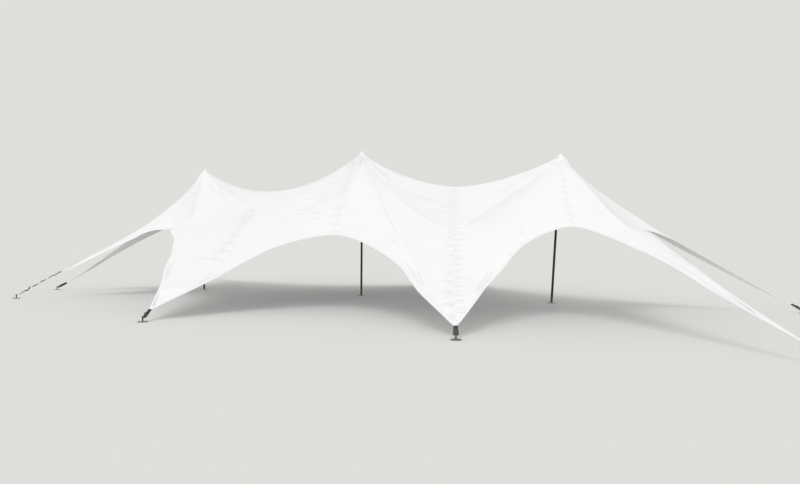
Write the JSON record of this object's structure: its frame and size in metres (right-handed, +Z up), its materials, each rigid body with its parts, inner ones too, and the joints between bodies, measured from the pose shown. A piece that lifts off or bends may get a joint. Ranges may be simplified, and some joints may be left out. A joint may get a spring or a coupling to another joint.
{
  "type": "stretch tent",
  "caption": "White stretch tent: an elastic canopy draped over a row of dark masts and pulled down to ground anchors, with scalloped open edges.",
  "frame": {"origin": "underside of the middle mast's foot plate, on the ground", "axes": "+X along the row of masts to the right end, +Y towards the back, +Z up; the front faces -Y"},
  "size_m": [26.6135, 19.0073, 5.44],
  "materials": {
    "canopy_fabric": "matt white coated knit",
    "mast_tube": "satin black coating",
    "foot_plate": "satin black coating",
    "mast_head": "matt white",
    "clamp": "satin dark grey coating",
    "tie_strap": "black woven webbing",
    "ground_anchor": "satin dark grey coating"
  },
  "bodies": {
    "root": {"panel_left_end_front": "canopy_fabric", "panel_left_front": "canopy_fabric", "panel_middle_front_left": "canopy_fabric", "panel_middle_front_right": "canopy_fabric", "panel_right_front": "canopy_fabric", "panel_right_end_front": "canopy_fabric", "panel_left_end_back": "canopy_fabric", "panel_left_back": "canopy_fabric", "panel_middle_back_left": "canopy_fabric", "panel_middle_back_right": "canopy_fabric", "panel_right_back": "canopy_fabric", "panel_right_end_back": "canopy_fabric", "mast_left_foot": "foot_plate", "mast_left_tube": "mast_tube", "mast_left_head": "mast_head", "mast_middle_foot": "foot_plate", "mast_middle_tube": "mast_tube", "mast_middle_head": "mast_head", "mast_right_foot": "foot_plate", "mast_right_tube": "mast_tube", "mast_right_head": "mast_head", "clamp_front_left_corner": "clamp", "tie_front_left_corner": "tie_strap", "ground_anchor_front_left_corner": "ground_anchor", "clamp_front_left_bay": "clamp", "tie_front_left_bay": "tie_strap", "ground_anchor_front_left_bay": "ground_anchor", "clamp_front_right_bay": "clamp", "tie_front_right_bay": "tie_strap", "ground_anchor_front_right_bay": "ground_anchor", "clamp_front_right_corner": "clamp", "tie_front_right_corner": "tie_strap", "ground_anchor_front_right_corner": "ground_anchor", "clamp_back_right_corner": "clamp", "tie_back_right_corner": "tie_strap", "ground_anchor_back_right_corner": "ground_anchor", "clamp_back_right_bay": "clamp", "tie_back_right_bay": "tie_strap", "ground_anchor_back_right_bay": "ground_anchor", "clamp_back_left_bay": "clamp", "tie_back_left_bay": "tie_strap", "ground_anchor_back_left_bay": "ground_anchor", "clamp_back_left_corner": "clamp", "tie_back_left_corner": "tie_strap", "ground_anchor_back_left_corner": "ground_anchor"}
  },
  "joints": []
}
